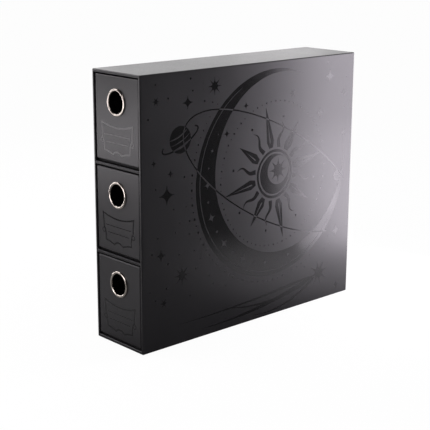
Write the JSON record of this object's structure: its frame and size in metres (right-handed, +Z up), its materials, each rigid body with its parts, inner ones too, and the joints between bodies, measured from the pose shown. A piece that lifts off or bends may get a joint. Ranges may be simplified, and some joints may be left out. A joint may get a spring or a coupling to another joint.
{
  "type": "trading card drawer box",
  "caption": "Tall, narrow desk box of wrapped board with stacked card drawers that slide out by metal-rimmed finger holes.",
  "frame": {"origin": "middle of the case's footprint, on the underside of the base sheet", "axes": "+Z up; -Y is the open front that the drawers slide out of; +X is the right side seen from the front"},
  "size_m": [0.092, 0.3812, 0.345],
  "materials": {
    "cover_paper": "black printed paper, matte laminate with gloss varnish figures",
    "case_board": "dyed solid board",
    "wrapped_board": "board wrapped in black matte paper",
    "front_paper": "board wrapped in black matte paper with a varnished label outline",
    "lining_paper": "thin board lined with plain black paper",
    "bright_nickel": "bright nickel plate"
  },
  "bodies": {
    "case": {"case_cover_paper": "cover_paper", "case_base_sheet": "cover_paper", "case_back_sheet": "cover_paper", "case_left_board": "case_board", "case_right_board": "case_board", "case_top_board": "case_board", "case_bottom_board": "case_board", "case_back_board": "case_board", "lower_shelf": "wrapped_board", "upper_shelf": "wrapped_board"},
    "bottom_drawer": {"bottom_drawer_front_panel": "front_paper", "bottom_drawer_inner_front": "lining_paper", "bottom_drawer_left_side": "lining_paper", "bottom_drawer_right_side": "lining_paper", "bottom_drawer_back": "lining_paper", "bottom_drawer_floor": "lining_paper", "bottom_drawer_finger_ring": "bright_nickel", "bottom_drawer_ring_washer": "bright_nickel"},
    "middle_drawer": {"middle_drawer_front_panel": "front_paper", "middle_drawer_inner_front": "lining_paper", "middle_drawer_left_side": "lining_paper", "middle_drawer_right_side": "lining_paper", "middle_drawer_back": "lining_paper", "middle_drawer_floor": "lining_paper", "middle_drawer_finger_ring": "bright_nickel", "middle_drawer_ring_washer": "bright_nickel"},
    "top_drawer": {"top_drawer_front_panel": "front_paper", "top_drawer_inner_front": "lining_paper", "top_drawer_left_side": "lining_paper", "top_drawer_right_side": "lining_paper", "top_drawer_back": "lining_paper", "top_drawer_floor": "lining_paper", "top_drawer_finger_ring": "bright_nickel", "top_drawer_ring_washer": "bright_nickel"}
  },
  "joints": [
    {"name": "bottom_drawer_slide", "type": "slide", "parent": "case", "child": "bottom_drawer", "axis": [0, -1, 0], "range_m": [0, 0.38]},
    {"name": "middle_drawer_slide", "type": "slide", "parent": "case", "child": "middle_drawer", "axis": [0, -1, 0], "range_m": [0, 0.38]},
    {"name": "top_drawer_slide", "type": "slide", "parent": "case", "child": "top_drawer", "axis": [0, -1, 0], "range_m": [0, 0.38]}
  ]
}
